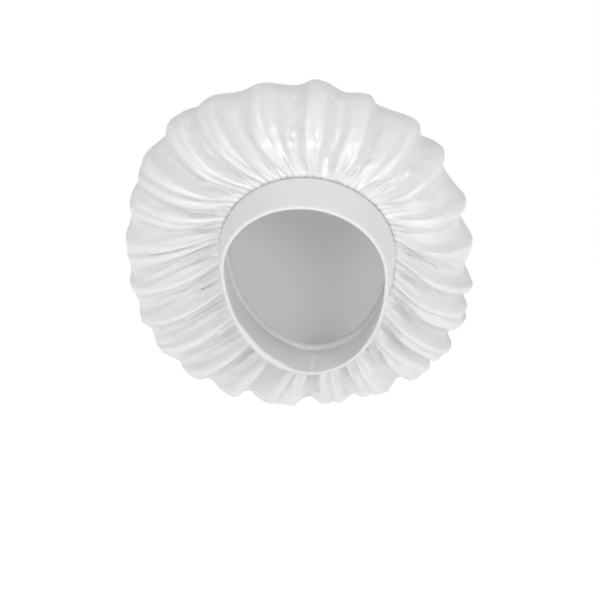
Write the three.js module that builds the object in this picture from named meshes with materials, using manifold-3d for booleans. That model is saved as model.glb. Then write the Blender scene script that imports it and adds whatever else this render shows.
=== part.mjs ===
// Satin hair bonnet in its worn shape: a round satin crown gathered into a wide stretch band.
// Millimetres, +Z up. The opening looks along -Y and down, and its centre is the origin.
import * as THREE from "three";
import Module from "manifold-3d";

const { degToRad, lerp, smoothstep } = THREE.MathUtils;

// Opening: an oval round the head, high at the brow and low at the nape
const OPENING_TILT = degToRad(54); // its plane above the horizontal
const OPENING_HALF_BREADTH = 73; // side to side
const OPENING_BROW_REACH = 72; // from the widest place forward to the brow
const OPENING_NAPE_REACH = 112; // from the widest place back to the nape

// Band: a strip of stretch knit folded over a flat elastic
const BAND_WIDTH = 40; // folded edge to crown seam
const BAND_FLARE = 4; // how much wider each half of the oval is at the seam
const KNIT_THICKNESS = 0.9;
const ELASTIC_THICKNESS = 1.2;
const ELASTIC_HEADROOM = 5; // from the elastic's upper edge to the seam
const ELASTIC_LAP = 20; // the elastic's ends lie over one another by this much
const LAP_OFFSET = 48; // along the band from the centre back, clear of the band's own join
const LAP_EASE = 8; // the band is full thickness this far beyond the lap
const LAP_TAPER = 14;
const TACK_LENGTH = 24; // bar of thread that holds the lap
const TACK_HEAD_WIDTH = 3;
const TACK_HEAD_THICKNESS = 0.5;
const TACK_WEB = 0.8;

// Seam: the raw edges are turned inward together and overlocked
const SEAM_ALLOWANCE = 7;
const ALLOWANCE_RISE = degToRad(45); // the turned edges lean up into the crown
const SATIN_THICKNESS = 0.8;
const THREAD_DIAMETER = 0.7;
const STITCH_LINE = 1.9; // from the seam to the row of needle stitches
const OVERLOCK_BITE = 3.6;
const OVERLOCK_THICKNESS = 0.6;
const CLEARANCE = 0.3; // air between pieces that touch when sewn

// Join of the band's ends: a zigzag at the centre back
const JOIN_LENGTH = 27;
const JOIN_ZIGZAG_WIDTH = 4;
const JOIN_STITCHES = 9;

// Crown: heights are above the plane of the seam, and it hangs back and down towards the nape
const CROWN_HALF_BREADTH = 158;
const CROWN_BROW_REACH = 178;
const CROWN_NAPE_REACH = 146;
const CROWN_FULLNESS = degToRad(5); // fills out the corners of its widest ring
const CROWN_DEPTH = 150;
const CROWN_SAG = 42;
const BELLY_HEIGHT = 44; // its widest ring
const BELLY_SAG = 50;
const BELLY_LEAN = degToRad(8); // the widest ring is higher at the brow
const CROWN_SIDE_DROP = 16; // it flops to the -X side
const SHOULDER = { reach: 0.62, rise: 0.24 }; // shares of the way from seam to widest ring
const BACK_RINGS = [
  { reach: 0.16, rise: 0.54 }, // shares of the way from widest ring to the middle of the back
  { reach: 0.52, rise: 0.9 },
];

// Folds: rounded lobes with narrow valleys, fanning out from the gathered seam
const FOLD_COUNT = 24;
const FOLD_PHASES = [0, 0.34, 0.66]; // valley and the two sides of the lobe
const FOLD_HEIGHT = 3.5; // lobe above the smooth form
const FOLD_DEPTH = 8; // valley below it
const FOLD_DRIFT = degToRad(1.6); // how far a fold wanders to one side

const SEAM_GAP = CLEARANCE / 2; // half the space left between the band's two walls at the seam
const LAP_SHIFT = (ELASTIC_THICKNESS + CLEARANCE) / 2;
const CHANNEL = ELASTIC_THICKNESS / 2 + CLEARANCE;
const TACK_REACH = LAP_SHIFT + ELASTIC_THICKNESS / 2 + CLEARANCE;
const LAP_CHANNEL = TACK_REACH + TACK_HEAD_THICKNESS + CLEARANCE;
const ELASTIC_TOP = BAND_WIDTH - ELASTIC_HEADROOM;
const ELASTIC_BOTTOM = LAP_CHANNEL + KNIT_THICKNESS + CLEARANCE;
const STATIONS = FOLD_COUNT * FOLD_PHASES.length;

const manifold = await Module();
manifold.setup();

// An angle that an arc along the band spans near the nape
const napeAngle = (arc) => arc / OPENING_HALF_BREADTH;
const LAP_CENTRE = Math.PI + napeAngle(LAP_OFFSET);
const LAP_HALF = napeAngle(ELASTIC_LAP / 2);

// Angles run from the brow round the +X side; every piece that meets the seam shares these stations
function stationAngle(station) {
  const fold = Math.floor(station / FOLD_PHASES.length);
  const phase = FOLD_PHASES[station % FOLD_PHASES.length];
  return ((fold + phase) / FOLD_COUNT) * 2 * Math.PI;
}

// Uneven but repeatable number from -1 to 1 for each fold
const unevenness = (fold) => Math.sin(fold * 2.4 + 0.7);

// A place on the band, by angle, offset outward from the middle of its thickness, and height above the fold.
// Local axes: X side to side, Y towards the nape, Z into the crown.
function bandPoint(angle, offset, height) {
  const flare = (BAND_FLARE * height) / BAND_WIDTH;
  const reach = Math.cos(angle) > 0 ? OPENING_BROW_REACH : OPENING_NAPE_REACH;
  const breadth = OPENING_HALF_BREADTH + flare;
  const length = reach + flare;
  const outward = new THREE.Vector2(Math.sin(angle) / breadth, -Math.cos(angle) / length).normalize();
  return new THREE.Vector3(
    breadth * Math.sin(angle) + offset * outward.x,
    -length * Math.cos(angle) + offset * outward.y,
    height,
  );
}

// Half the width of the space between the band's walls: wider where the elastic is lapped and tacked
function channelHalf(angle) {
  const away = Math.abs(angle - LAP_CENTRE);
  const full = LAP_HALF + napeAngle(LAP_EASE);
  return lerp(LAP_CHANNEL, CHANNEL, smoothstep(away, full, full + napeAngle(LAP_TAPER)));
}

// A place in the turned-in seam edges: how far along them, and how deep towards the crown side
function allowancePoint(along, depth) {
  return [
    SEAM_GAP + KNIT_THICKNESS - along * Math.cos(ALLOWANCE_RISE) + depth * Math.sin(ALLOWANCE_RISE),
    BAND_WIDTH + along * Math.sin(ALLOWANCE_RISE) + depth * Math.cos(ALLOWANCE_RISE),
  ];
}

// Where a wall face of the band at some offset turns into the seam edges
function turnPoint(offset, depth) {
  const start = allowancePoint(0, depth)[0];
  return allowancePoint((start - offset) / Math.cos(ALLOWANCE_RISE), depth);
}

// Half round of a fold, from the lining side under to the outer side
function foldArc(radius, centreHeight, steps) {
  return Array.from({ length: steps + 1 }, (_, i) => {
    const turn = Math.PI + (Math.PI * i) / steps;
    return [radius * Math.cos(turn), centreHeight + radius * Math.sin(turn)];
  });
}

// A closed body through matching sections, which run anticlockwise in offset and height
function loft(sections, isRing) {
  const size = sections[0].length;
  const last = (sections.length - 1) * size;
  const faces = [];
  for (let i = 0; i < sections.length - (isRing ? 0 : 1); i++) {
    const here = i * size;
    const next = ((i + 1) % sections.length) * size;
    for (let j = 0; j < size; j++) {
      const k = (j + 1) % size;
      faces.push(here + j, next + k, here + k, here + j, next + j, next + k);
    }
  }
  for (let j = 1; !isRing && j < size - 1; j++) {
    faces.push(0, j, j + 1, last, last + j + 1, last + j);
  }
  return meshOf(sections.flat(), faces);
}

function meshOf(points, faces) {
  const geometry = new THREE.BufferGeometry().setFromPoints(points);
  geometry.setIndex(faces);
  geometry.computeVertexNormals();
  return geometry;
}

// A ring that keeps the section given for each angle
function bandRing(sectionAt) {
  const sections = [];
  for (let station = 0; station < STATIONS; station++) {
    const angle = stationAngle(station);
    sections.push(sectionAt(angle).map(([offset, height]) => bandPoint(angle, offset, height)));
  }
  return loft(sections, true);
}

// Folded knit: lining wall, fold, outer wall, and both raw edges turned in at the seam
function bandCoverSection(angle) {
  const inner = channelHalf(angle);
  const outer = inner + KNIT_THICKNESS;
  const liningTop = -(KNIT_THICKNESS + CLEARANCE);
  const liningUnder = liningTop - KNIT_THICKNESS;
  return [
    allowancePoint(SEAM_ALLOWANCE, liningUnder),
    turnPoint(-SEAM_GAP - KNIT_THICKNESS, liningUnder),
    [-outer, ELASTIC_TOP],
    ...foldArc(outer, outer, 3),
    [outer, ELASTIC_TOP],
    allowancePoint(0, 0),
    allowancePoint(SEAM_ALLOWANCE, 0),
    allowancePoint(SEAM_ALLOWANCE, -KNIT_THICKNESS),
    turnPoint(SEAM_GAP, -KNIT_THICKNESS),
    [inner, ELASTIC_TOP],
    ...foldArc(inner, outer, 2).reverse(),
    [-inner, ELASTIC_TOP],
    turnPoint(-SEAM_GAP, liningTop),
    allowancePoint(SEAM_ALLOWANCE, liningTop),
  ];
}

// Thread wrapped over the raw edges: a channel that closes round their ends
function overlockSection() {
  const under = -2 * (KNIT_THICKNESS + CLEARANCE);
  const over = 2 * CLEARANCE + SATIN_THICKNESS;
  const mouth = SEAM_ALLOWANCE - OVERLOCK_BITE;
  const end = SEAM_ALLOWANCE + CLEARANCE;
  return [
    allowancePoint(mouth, over),
    allowancePoint(mouth, over + OVERLOCK_THICKNESS),
    allowancePoint(end + OVERLOCK_THICKNESS, over + OVERLOCK_THICKNESS),
    allowancePoint(end + OVERLOCK_THICKNESS, under - OVERLOCK_THICKNESS),
    allowancePoint(mouth, under - OVERLOCK_THICKNESS),
    allowancePoint(mouth, under),
    allowancePoint(end, under),
    allowancePoint(end, over),
  ];
}

// Round thread lying along the stitch line on one side of the turned edges
function threadSection(depth) {
  const [offset, height] = allowancePoint(STITCH_LINE, depth);
  return new THREE.Path()
    .absarc(offset, height, THREAD_DIAMETER / 2, 0, 2 * Math.PI)
    .getPoints(5)
    .slice(1)
    .map((p) => [p.x, p.y]);
}

// The elastic's middle moves to the inner side of the lap at its start and to the outer side at its end
function elasticShift(turned) {
  const ends = 2 * LAP_HALF + napeAngle(LAP_EASE) / 2;
  const ease = napeAngle(LAP_TAPER);
  const start = 1 - smoothstep(turned, ends, ends + ease);
  const whole = 2 * Math.PI + 2 * LAP_HALF;
  const finish = smoothstep(turned, whole - ends - ease, whole - ends);
  return LAP_SHIFT * (finish - start);
}

function elasticStrip() {
  const half = ELASTIC_THICKNESS / 2;
  const section = [
    [half, ELASTIC_BOTTOM],
    [half, ELASTIC_TOP - CLEARANCE],
    [-half, ELASTIC_TOP - CLEARANCE],
    [-half, ELASTIC_BOTTOM],
  ];
  const sections = [];
  for (let station = 0; station <= STATIONS; station++) {
    const turned = (station / STATIONS) * (2 * Math.PI + 2 * LAP_HALF);
    const angle = LAP_CENTRE - LAP_HALF + turned;
    const shift = elasticShift(turned);
    sections.push(section.map(([offset, height]) => bandPoint(angle, offset + shift, height)));
  }
  return loft(sections, false);
}

function solidOf(geometry) {
  const position = geometry.getAttribute("position");
  const mesh = new manifold.Mesh({
    numProp: 3,
    vertProperties: new Float32Array(position.array),
    triVerts: new Uint32Array(geometry.index.array),
  });
  return new manifold.Manifold(mesh);
}

function geometryOf(solid) {
  const mesh = solid.getMesh();
  const geometry = new THREE.BufferGeometry();
  geometry.setAttribute("position", new THREE.BufferAttribute(mesh.vertProperties, 3));
  geometry.setIndex(new THREE.BufferAttribute(mesh.triVerts, 1));
  return geometry;
}

// Axes at the lap: across the band's face, outward, and up its width
function lapFrame() {
  const low = bandPoint(LAP_CENTRE, 0, ELASTIC_BOTTOM);
  const high = bandPoint(LAP_CENTRE, 0, ELASTIC_TOP);
  const up = high.clone().sub(low).normalize();
  const outward = bandPoint(LAP_CENTRE, 1, ELASTIC_BOTTOM).sub(low);
  const across = outward.clone().cross(up).normalize();
  outward.crossVectors(up, across);
  return new THREE.Matrix4().makeBasis(across, outward, up).setPosition(low.lerp(high, 0.5));
}

// Lapped elastic with the slot that the bar tack's thread goes through
function tackedElastic() {
  const slot = new THREE.BoxGeometry(
    TACK_WEB + 2 * CLEARANCE,
    2 * LAP_CHANNEL,
    TACK_LENGTH + 2 * CLEARANCE,
  );
  slot.deleteAttribute("uv");
  slot.deleteAttribute("normal");
  const welded = solidOf(weld(slot.applyMatrix4(lapFrame())));
  return geometryOf(solidOf(elasticStrip()).subtract(welded));
}

// The box's corners, each once
function weld(geometry) {
  const position = geometry.getAttribute("position");
  const corners = [];
  const places = [];
  for (let i = 0; i < position.count; i++) {
    const corner = new THREE.Vector3().fromBufferAttribute(position, i);
    const known = corners.findIndex((other) => other.distanceTo(corner) < 1e-4);
    places.push(known < 0 ? corners.push(corner) - 1 : known);
  }
  return meshOf(corners, Array.from(geometry.index.array, (i) => places[i]));
}

// Bar tack: thread on both faces of the lap, joined through it
function barTack() {
  const web = TACK_WEB / 2;
  const head = TACK_HEAD_WIDTH / 2;
  const face = TACK_REACH + TACK_HEAD_THICKNESS;
  const profile = new THREE.Shape(
    [
      [-head, -face],
      [head, -face],
      [head, -TACK_REACH],
      [web, -TACK_REACH],
      [web, TACK_REACH],
      [head, TACK_REACH],
      [head, face],
      [-head, face],
      [-head, TACK_REACH],
      [-web, TACK_REACH],
      [-web, -TACK_REACH],
      [-head, -TACK_REACH],
    ].map(([x, y]) => new THREE.Vector2(x, y)),
  );
  const bar = new THREE.ExtrudeGeometry(profile, { depth: TACK_LENGTH, bevelEnabled: false });
  return bar.translate(0, 0, -TACK_LENGTH / 2).applyMatrix4(lapFrame());
}

// Zigzag of thread up the lining at the centre back, where the band's ends are joined
function joinStitches() {
  const offset = -(CHANNEL + KNIT_THICKNESS + CLEARANCE + THREAD_DIAMETER / 2);
  const low = (ELASTIC_TOP - JOIN_LENGTH) / 2;
  const corners = [];
  for (let i = 0; i <= JOIN_STITCHES; i++) {
    const side = (i % 2 ? 1 : -1) * napeAngle(JOIN_ZIGZAG_WIDTH / 2);
    corners.push(bandPoint(Math.PI + side, offset, low + (JOIN_LENGTH * i) / JOIN_STITCHES));
  }
  const thread = new THREE.CatmullRomCurve3(corners, false, "catmullrom", 0.3);
  const round = new THREE.Shape().absarc(0, 0, THREAD_DIAMETER / 2, 0, 2 * Math.PI);
  return new THREE.ExtrudeGeometry(round, {
    steps: JOIN_STITCHES * 4,
    curveSegments: 3,
    extrudePath: thread,
  });
}

// The crown's smooth form along one angle, from the seam over its widest ring to the middle of the back
function crownProfile(angle) {
  const [offset, height] = allowancePoint(0, CLEARANCE);
  const seam = bandPoint(angle, offset, height);
  const reach = Math.cos(angle) * (Math.cos(angle) > 0 ? CROWN_BROW_REACH : CROWN_NAPE_REACH);
  const side = Math.sin(angle + CROWN_FULLNESS * Math.sin(2 * angle));
  const belly = new THREE.Vector3(
    CROWN_HALF_BREADTH * side - CROWN_SIDE_DROP,
    BELLY_SAG - reach * Math.cos(BELLY_LEAN),
    BAND_WIDTH + BELLY_HEIGHT + reach * Math.sin(BELLY_LEAN),
  );
  const back = new THREE.Vector3(-CROWN_SIDE_DROP, CROWN_SAG, BAND_WIDTH + CROWN_DEPTH);
  const between = (from, to, share) =>
    new THREE.Vector3(
      lerp(from.x, to.x, share.reach),
      lerp(from.y, to.y, share.reach),
      lerp(from.z, to.z, share.rise),
    );
  return new THREE.CatmullRomCurve3([
    seam,
    between(seam, belly, SHOULDER),
    belly,
    ...BACK_RINGS.map((ring) => between(belly, back, ring)),
    back,
  ]);
}

// Outward direction of the smooth form
function crownNormal(angle, along) {
  const step = 0.01;
  const here = crownProfile(angle);
  const round = crownProfile(angle + step).getPoint(along).sub(crownProfile(angle - step).getPoint(along));
  const rise = here.getPoint(Math.min(along + step, 1)).sub(here.getPoint(Math.max(along - step, 0)));
  return round.cross(rise).normalize();
}

// One place on the folded crown: folds grow out of the seam and die away over the back
function crownPoint(station, along) {
  const fold = Math.floor(station / FOLD_PHASES.length);
  const isValley = station % FOLD_PHASES.length === 0;
  const size = smoothstep(along, 0, 0.2) * (1 - smoothstep(along, 0.22, 0.75));
  const angle = stationAngle(station) + FOLD_DRIFT * unevenness(fold) * size;
  const swell = isValley ? -FOLD_DEPTH * (1 + 0.4 * unevenness(3 * fold)) : FOLD_HEIGHT;
  return crownProfile(angle).getPoint(along).addScaledVector(crownNormal(angle, along), swell * size);
}

// Faces between two rows of the crown; the second may have half as many places
function rowFaces(first, firstSize, second, secondSize) {
  const ratio = firstSize / secondSize;
  const faces = [];
  for (let i = 0; i < firstSize; i++) {
    const near = second + (Math.floor(i / ratio) % secondSize);
    const far = second + (Math.floor((i + 1) / ratio) % secondSize);
    faces.push(first + i, first + ((i + 1) % firstSize), near === far ? near : far);
    if (near !== far) faces.push(first + i, far, near);
  }
  return faces;
}

// Satin panel: the folded sheet, its edge turned in at the seam, with the cloth's thickness inside it
function crownPanel() {
  const tip = allowancePoint(SEAM_ALLOWANCE, CLEARANCE);
  const corner = allowancePoint(0, CLEARANCE);
  const stations = Array.from({ length: STATIONS }, (_, station) => station);
  const rows = [tip, corner].map((place) => stations.map((s) => bandPoint(stationAngle(s), ...place)));
  for (const along of [0.07, 0.17, 0.27, 0.36, 0.45, 0.55]) {
    rows.push(stations.map((station) => crownPoint(station, along)));
  }
  rows.push(stations.filter((s) => s % 2 === 0).map((station) => crownPoint(station, 0.75)));
  rows.push([crownProfile(0).getPoint(1)]);
  const starts = rows.map((_, i) => rows.slice(0, i).flat().length);
  const outside = [];
  for (let i = 0; i < rows.length - 2; i++) {
    outside.push(...rowFaces(starts[i], rows[i].length, starts[i + 1], rows[i + 1].length));
  }
  const lastRing = rows[rows.length - 2].length;
  for (let i = 0; i < lastRing; i++) {
    const ring = starts[rows.length - 2];
    outside.push(ring + i, ring + ((i + 1) % lastRing), starts[rows.length - 1]);
  }
  const sheet = meshOf(rows.flat(), outside);
  const normals = sheet.getAttribute("normal");
  const points = rows.flat();
  const inner = points.map((point, i) =>
    point.clone().addScaledVector(new THREE.Vector3().fromBufferAttribute(normals, i), -SATIN_THICKNESS),
  );
  const count = points.length;
  const faces = [...outside];
  for (let i = 0; i < outside.length; i += 3) {
    faces.push(count + outside[i], count + outside[i + 2], count + outside[i + 1]);
  }
  for (let i = 0; i < STATIONS; i++) {
    const next = (i + 1) % STATIONS;
    faces.push(i, count + next, next, i, count + i, count + next);
  }
  return meshOf([...points, ...inner], faces);
}

function piece(name, geometry, color, roughness) {
  const mesh = new THREE.Mesh(geometry, new THREE.MeshStandardMaterial({ color, roughness }));
  mesh.name = name;
  return mesh;
}

const underEdges = -(2 * KNIT_THICKNESS + 2 * CLEARANCE + THREAD_DIAMETER / 2);
const overEdges = 2 * CLEARANCE + SATIN_THICKNESS + THREAD_DIAMETER / 2;

const worn = new THREE.Group();
worn.rotation.x = -OPENING_TILT;
worn.add(
  piece("crown_panel", crownPanel(), 0xf0eeee, 0.4),
  piece("band_cover", bandRing(bandCoverSection), 0xe8e7e8, 0.8),
  piece("band_elastic", tackedElastic(), 0xf2f2f0, 0.9),
  piece("elastic_bar_tack", barTack(), 0xffffff, 0.7),
  piece("band_join_stitches", joinStitches(), 0xffffff, 0.7),
  piece("seam_needle_thread", bandRing(() => threadSection(underEdges)), 0xffffff, 0.7),
  piece("gathering_thread", bandRing(() => threadSection(overEdges)), 0xffffff, 0.7),
  piece("overlock_thread", bandRing(overlockSection), 0xffffff, 0.7),
);

const bonnet = new THREE.Group();
bonnet.name = "satin_hair_bonnet";
bonnet.add(worn);

export default bonnet;
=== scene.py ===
import math

import bmesh
import bpy
import numpy as np
from mathutils import Matrix, Vector


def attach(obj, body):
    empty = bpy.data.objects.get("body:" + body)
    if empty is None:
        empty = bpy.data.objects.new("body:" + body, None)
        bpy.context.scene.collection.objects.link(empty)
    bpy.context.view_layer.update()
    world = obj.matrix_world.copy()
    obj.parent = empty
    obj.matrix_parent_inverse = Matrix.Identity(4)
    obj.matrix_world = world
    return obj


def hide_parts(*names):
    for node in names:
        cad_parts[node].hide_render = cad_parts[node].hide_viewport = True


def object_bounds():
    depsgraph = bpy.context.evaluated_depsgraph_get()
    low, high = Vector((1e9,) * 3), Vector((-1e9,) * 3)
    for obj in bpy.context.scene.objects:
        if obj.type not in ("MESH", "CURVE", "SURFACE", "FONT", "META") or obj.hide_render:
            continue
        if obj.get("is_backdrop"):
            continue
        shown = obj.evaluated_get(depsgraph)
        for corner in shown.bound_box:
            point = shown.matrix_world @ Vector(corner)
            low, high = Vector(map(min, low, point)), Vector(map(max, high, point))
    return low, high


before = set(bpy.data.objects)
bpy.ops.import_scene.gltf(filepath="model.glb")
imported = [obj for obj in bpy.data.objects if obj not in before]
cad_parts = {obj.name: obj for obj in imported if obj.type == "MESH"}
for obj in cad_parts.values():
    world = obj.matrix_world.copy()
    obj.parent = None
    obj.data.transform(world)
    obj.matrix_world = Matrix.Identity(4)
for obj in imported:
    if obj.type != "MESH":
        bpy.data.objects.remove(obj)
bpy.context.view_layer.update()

MM = 0.001
TURN = 2 * math.pi

# Opening and band
OPENING_TILT = math.radians(54)
OPENING_HALF_BREADTH = 73 * MM
OPENING_BROW_REACH = 72 * MM
OPENING_NAPE_REACH = 112 * MM
BAND_WIDTH = 40 * MM
BAND_FLARE = 4 * MM
BAND_ROUNDING = 0.35 * MM
BAND_COLUMNS = 240
WALL_ROWS = 9
OUTER_FOLD_STEPS = 9
INNER_FOLD_STEPS = 7
KNIT_THICKNESS = 0.9 * MM
BAND_LENGTH = 0.522

# Ripples of the band: waves are counted round the opening, shares are of the band's width
RIPPLE_HEIGHT = 0.5 * MM
RIPPLE_WAVES = (5, 7, 11)
PULL_HEIGHT = 0.3 * MM
PULL_WAVES = (23, 31, 41)
PULL_START = 0.55
RIPPLE_GROWTH = 0.3
RIPPLE_END = (0.92, 1.0)

# Elastic
ELASTIC_THICKNESS = 1.2 * MM
ELASTIC_HEADROOM = 5 * MM
ELASTIC_LAP = 20 * MM
ELASTIC_RIBS = 12
RIB_DEPTH = 0.1 * MM
ELASTIC_COLUMNS = 260
ELASTIC_ROWS = 48
LAP_OFFSET = 48 * MM
LAP_EASE = 8 * MM
LAP_TAPER = 14 * MM
TACK_LENGTH = 24 * MM
TACK_WIDTH = 3 * MM
TACK_THICKNESS = 0.5 * MM
TACK_TURNS = 34
TACK_THREAD_RADIUS = 0.2 * MM

# Seam
SEAM_ALLOWANCE = 7 * MM
ALLOWANCE_RISE = math.radians(45)
SATIN_THICKNESS = 0.45 * MM
SATIN_ROOM = 0.8 * MM
CLEARANCE = 0.3 * MM
STITCH_LINE = 1.9 * MM
STITCH_DIP = 0.5 * MM
STITCH_DIVE = (1, 0.25, 0, 0, 0.25)  # shares of the dip along one stitch
NEEDLE_STITCHES = 190
NEEDLE_RADIUS = 0.25 * MM
GATHER_STITCHES = 120
GATHER_RADIUS = 0.22 * MM
OVERLOCK_BITE = 3.6 * MM
OVERLOCK_THICKNESS = 0.6 * MM
OVERLOCK_STITCHES = 210
OVERLOCK_RADIUS = 0.24 * MM
JOIN_LENGTH = 27 * MM
JOIN_ZIGZAG_WIDTH = 4 * MM
JOIN_STITCHES = 9
JOIN_SHARPNESS = 0.97
JOIN_LIFT = 0.12 * MM
JOIN_STANDOFF = 0.22 * MM
JOIN_RADIUS = 0.25 * MM
MERGE_DISTANCE = 0.002 * MM

# Crown: heights above the plane of the seam
CROWN_HALF_BREADTH = 158 * MM
CROWN_BROW_REACH = 178 * MM
CROWN_NAPE_REACH = 146 * MM
CROWN_FULLNESS = math.radians(5)
CROWN_DEPTH = 150 * MM
CROWN_SAG = 42 * MM
BELLY_HEIGHT = 44 * MM
BELLY_SAG = 50 * MM
BELLY_LEAN = math.radians(8)
CROWN_SIDE_DROP = 16 * MM
SHOULDER = (0.62, 0.24)
BACK_RINGS = ((0.16, 0.54), (0.52, 0.9))

# Folds: ridges with broad valleys between them, some of them in pairs.
# Shares are of the way from the seam to the middle of the back.
FOLD_COUNT = 24
FOLD_DRIFT = math.radians(1.6)
FOLD_GROWTH = 0.09
VALLEY_DEPTH = 10 * MM
VALLEY_FADE = (0.22, 0.52)
RIDGE_HEIGHT = 8 * MM
RIDGE_FADE = (0.25, 0.5)
RIDGE_FADE_SPREAD = 0.08
FOLD_SIZE_SPREAD = 0.4  # of a ridge's height and a valley's depth, either way
UNEVEN_STEP = 2.4  # radians from one fold to the next, so that no two are alike
UNEVEN_START = 0.7
RIDGE_WIDTH = 0.15  # of the way from one valley to the next, as are the lean and the parting
RIDGE_LEAN = 0.14
LEAN_GROWTH = 0.4
PAIR_PARTING = 0.18
TUCK_HEIGHT = 1.8 * MM
TUCK_FADE = (0.03, 0.24)

# The satin circle as it is cut, without its seam allowance
CUT_RADIUS = 322 * MM
CUT_COLUMNS = 480
CORE_COLUMNS = 20
CELL_STRETCH = 1.15  # a row's length over its columns' spacing
EDGE_ROWS = 3
LEVEL = 0.01 * MM  # rows of the circle are told apart by radius in these steps
CUT_MAP = "cut"  # name of the UV map that holds places on the cloth as it was cut

# Tucks where the circle is gathered into the seam
GATHER_COLUMNS = 6
GATHER_WANDER = ((0.5, 5, 0), (0.4, 9, 1))  # amount, waves round the seam and start
ROOT_REACH = 14 * MM
ROOT_TUCK = 0.6 * MM
ROOT_TUCK_SPREAD = 0.25 * MM
ROOT_TUCK_GROWTH = 0.1
ROOT_WAVES = (17, 29, 43)
ROOT_TAPER = 0.8
ROOT_OWN_FOLDS = 0.3
EDGE_TUCK = 0.12 * MM

# How the cloth is drawn up
DOME_START = 120 * MM
DOME_DRAW = 0.5
FOLD_SEED = 4 * MM
FOLD_SEED_START = 0.35
TUCK_SEED = 2 * MM
TUCK_SEED_REACH = 30 * MM
CREASE_SEED = 0.3 * MM
RING_DROP = 150 * MM
SEWN_DEPTH = 1 * MM
GUIDE_HOLD = 0.52
CLOSING_FRAMES = 22
SETTLING_FRAMES = 14
GRAVITY = 9.81
GRAVITY_SHARE = 0.1
SATIN_CLOTH = {
    "quality": 6,
    "mass": 0.0008,
    "air_damping": 1.0,
    "tension_stiffness": 20,
    "compression_stiffness": 20,
    "shear_stiffness": 10,
    "bending_stiffness": 40,
    "tension_damping": 0.2,
    "compression_damping": 0.2,
    "shear_damping": 0.2,
    "bending_damping": 1.0,
    "use_pressure": True,
    "uniform_pressure_force": 10,
}

# How the settled folds are laid on the worn form
BROAD_WAVES = 5
SPREAD_LIMITS = (0.7, 1.4)
BACK_CALM = (0.42, 0.68)
BACK_CALMED = 0.8
SOFTENING = 3
FIRM_ROOT = 2 * MM
BACK_SOFTENING = 8
BACK_SOFTENING_START = 0.8  # of the way from the seam to the calm back

SEAM_GAP = CLEARANCE / 2
LAP_SHIFT = (ELASTIC_THICKNESS + CLEARANCE) / 2
CHANNEL = ELASTIC_THICKNESS / 2 + CLEARANCE
TACK_REACH = LAP_SHIFT + ELASTIC_THICKNESS / 2 + CLEARANCE
LAP_CHANNEL = TACK_REACH + TACK_THICKNESS + CLEARANCE
ELASTIC_TOP = BAND_WIDTH - ELASTIC_HEADROOM
ELASTIC_BOTTOM = LAP_CHANNEL + KNIT_THICKNESS + CLEARANCE
LAP_CENTRE = math.pi + LAP_OFFSET / OPENING_HALF_BREADTH
LAP_HALF = ELASTIC_LAP / 2 / OPENING_HALF_BREADTH

# Finishes
SATIN_SHADE = (0.72, 0.715, 0.72)
SATIN_LIGHT = (0.81, 0.8, 0.805)
SATIN_BACK_SHADE = (0.82, 0.815, 0.82)
SATIN_BACK_LIGHT = (0.9, 0.89, 0.895)
KNIT_SHADE = (0.62, 0.62, 0.63)
KNIT_LIGHT = (0.72, 0.72, 0.73)
ELASTIC_SHADE = (0.76, 0.76, 0.75)
ELASTIC_LIGHT = (0.84, 0.84, 0.83)
THREAD_SHADE = (0.78, 0.775, 0.78)
THREAD_LIGHT = (0.88, 0.875, 0.88)

# Studio
FLOOR_HALF = 4
FLOOR_GAP = 0.2 * MM
FLOOR_TONE = 0.86
SHADOW_TONE = 0.32
FLOOR_GLOW = 0.84
TABLE_LIGHT = 0.38
AMBIENT_LIGHT = 0.6
MIDDLE = (0, 0.085, 0.025)
SOFTBOXES = {  # place, size and power
    "key": ((-0.9, -1.5, 1.3), 0.4, 7),
    "fill": ((1.3, -1.3, 0.5), 0.5, 6),
    "low_left": ((-0.8, -1.8, 0.0), 0.5, 8),
    "low_right": ((0.8, -1.8, 0.0), 0.5, 10),
}
CAMERA_AZIMUTH = math.radians(6)
CAMERA_ELEVATION = math.radians(1)
CAMERA_DISTANCE = 2.4
VIEW_WIDTH = 0.531
AIM = (-3.5 * MM, -22 * MM)


def ease(low, high, value):
    """Smooth step from 0 at low to 1 at high."""
    t = np.clip((value - low) / (high - low), 0, 1)
    return t * t * (3 - 2 * t)


def unit(vectors):
    return vectors / np.linalg.norm(vectors, axis=-1, keepdims=True)


def worn(points):
    """Band axes (side to side, towards the nape, into the crown) to the bonnet as it is worn."""
    x, y, z = np.moveaxis(np.asarray(points, float), -1, 0)
    c, s = math.cos(OPENING_TILT), math.sin(OPENING_TILT)
    return np.stack([x, c * y + s * z, c * z - s * y], -1)


def uneven(angle, cycles, seed):
    """Repeatable wandering number, about -1 to 1, that closes round the band."""
    draw = np.random.default_rng(seed)
    waves = [np.sin(c * angle + draw.uniform(0, TURN)) for c in cycles]
    return sum(waves) / math.sqrt(len(cycles))


# Band shape


def band_point(angle, offset, height):
    """A place on the band by angle from the brow, offset outward and height above the folded edge."""
    angle, offset, height = np.broadcast_arrays(angle, offset, height)
    flare = BAND_FLARE * height / BAND_WIDTH
    length = np.where(np.cos(angle) > 0, OPENING_BROW_REACH, OPENING_NAPE_REACH) + flare
    breadth = OPENING_HALF_BREADTH + flare
    outward = unit(np.stack([np.sin(angle) / breadth, -np.cos(angle) / length], -1))
    return np.stack(
        [
            breadth * np.sin(angle) + offset * outward[..., 0],
            -length * np.cos(angle) + offset * outward[..., 1],
            height,
        ],
        -1,
    )


def band_ripple(angle, height):
    """Soft unevenness that the whole thickness of the band shares, stronger towards the gathers."""
    share = height / BAND_WIDTH
    slow = RIPPLE_HEIGHT * uneven(angle, RIPPLE_WAVES, seed=11)
    pull = PULL_HEIGHT * uneven(angle, PULL_WAVES, seed=12) * ease(PULL_START, 1, share)
    return (slow + pull) * ease(0, RIPPLE_GROWTH, share) * (1 - ease(*RIPPLE_END, share))


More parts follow.
